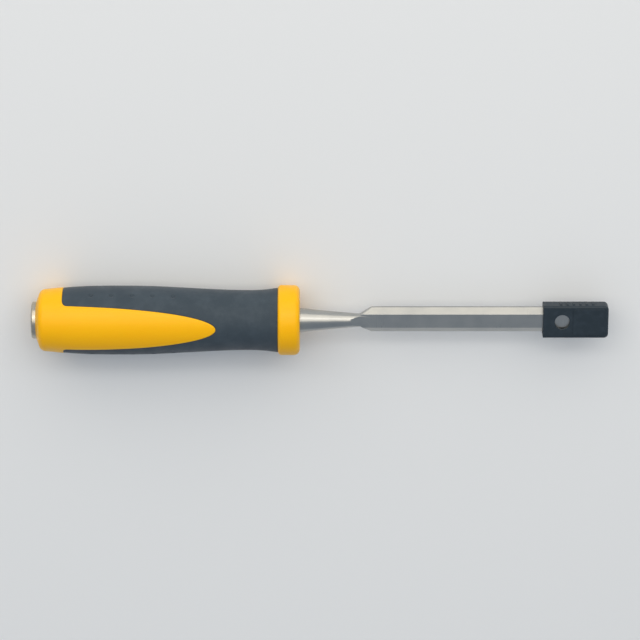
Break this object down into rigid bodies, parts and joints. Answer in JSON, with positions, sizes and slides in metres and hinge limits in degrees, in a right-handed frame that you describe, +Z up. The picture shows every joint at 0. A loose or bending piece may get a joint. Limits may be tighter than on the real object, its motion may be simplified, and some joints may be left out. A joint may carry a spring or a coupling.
{
  "type": "bench chisel",
  "caption": "Bevel-edged bench chisel with a hard yellow and soft dark grey handle, a steel striking cap and a plastic guard that slides off the cutting edge.",
  "frame": {"origin": "middle of the chisel's length, on the surface it lies on, under its axis", "axes": "+X along the chisel from the striking cap to the cutting edge, +Z up on the side of the bevels and the handle's tongue, Y across the blade"},
  "size_m": [0.271, 0.033, 0.033],
  "materials": {
    "blade_steel": "fine ground",
    "cap_steel": "turned and polished",
    "hard_plastic": "moulded, satin gloss",
    "soft_grip": "moulded, matt",
    "guard_plastic": "moulded, satin"
  },
  "bodies": {
    "chisel": {"blade": "blade_steel", "handle_core": "hard_plastic", "soft_grip": "soft_grip", "striking_cap": "cap_steel"},
    "guard": {"blade_guard": "guard_plastic"}
  },
  "joints": [
    {"name": "guard_slide", "type": "slide", "parent": "chisel", "child": "guard", "axis": [1, 0, 0], "range_m": [0, 0.035]}
  ]
}
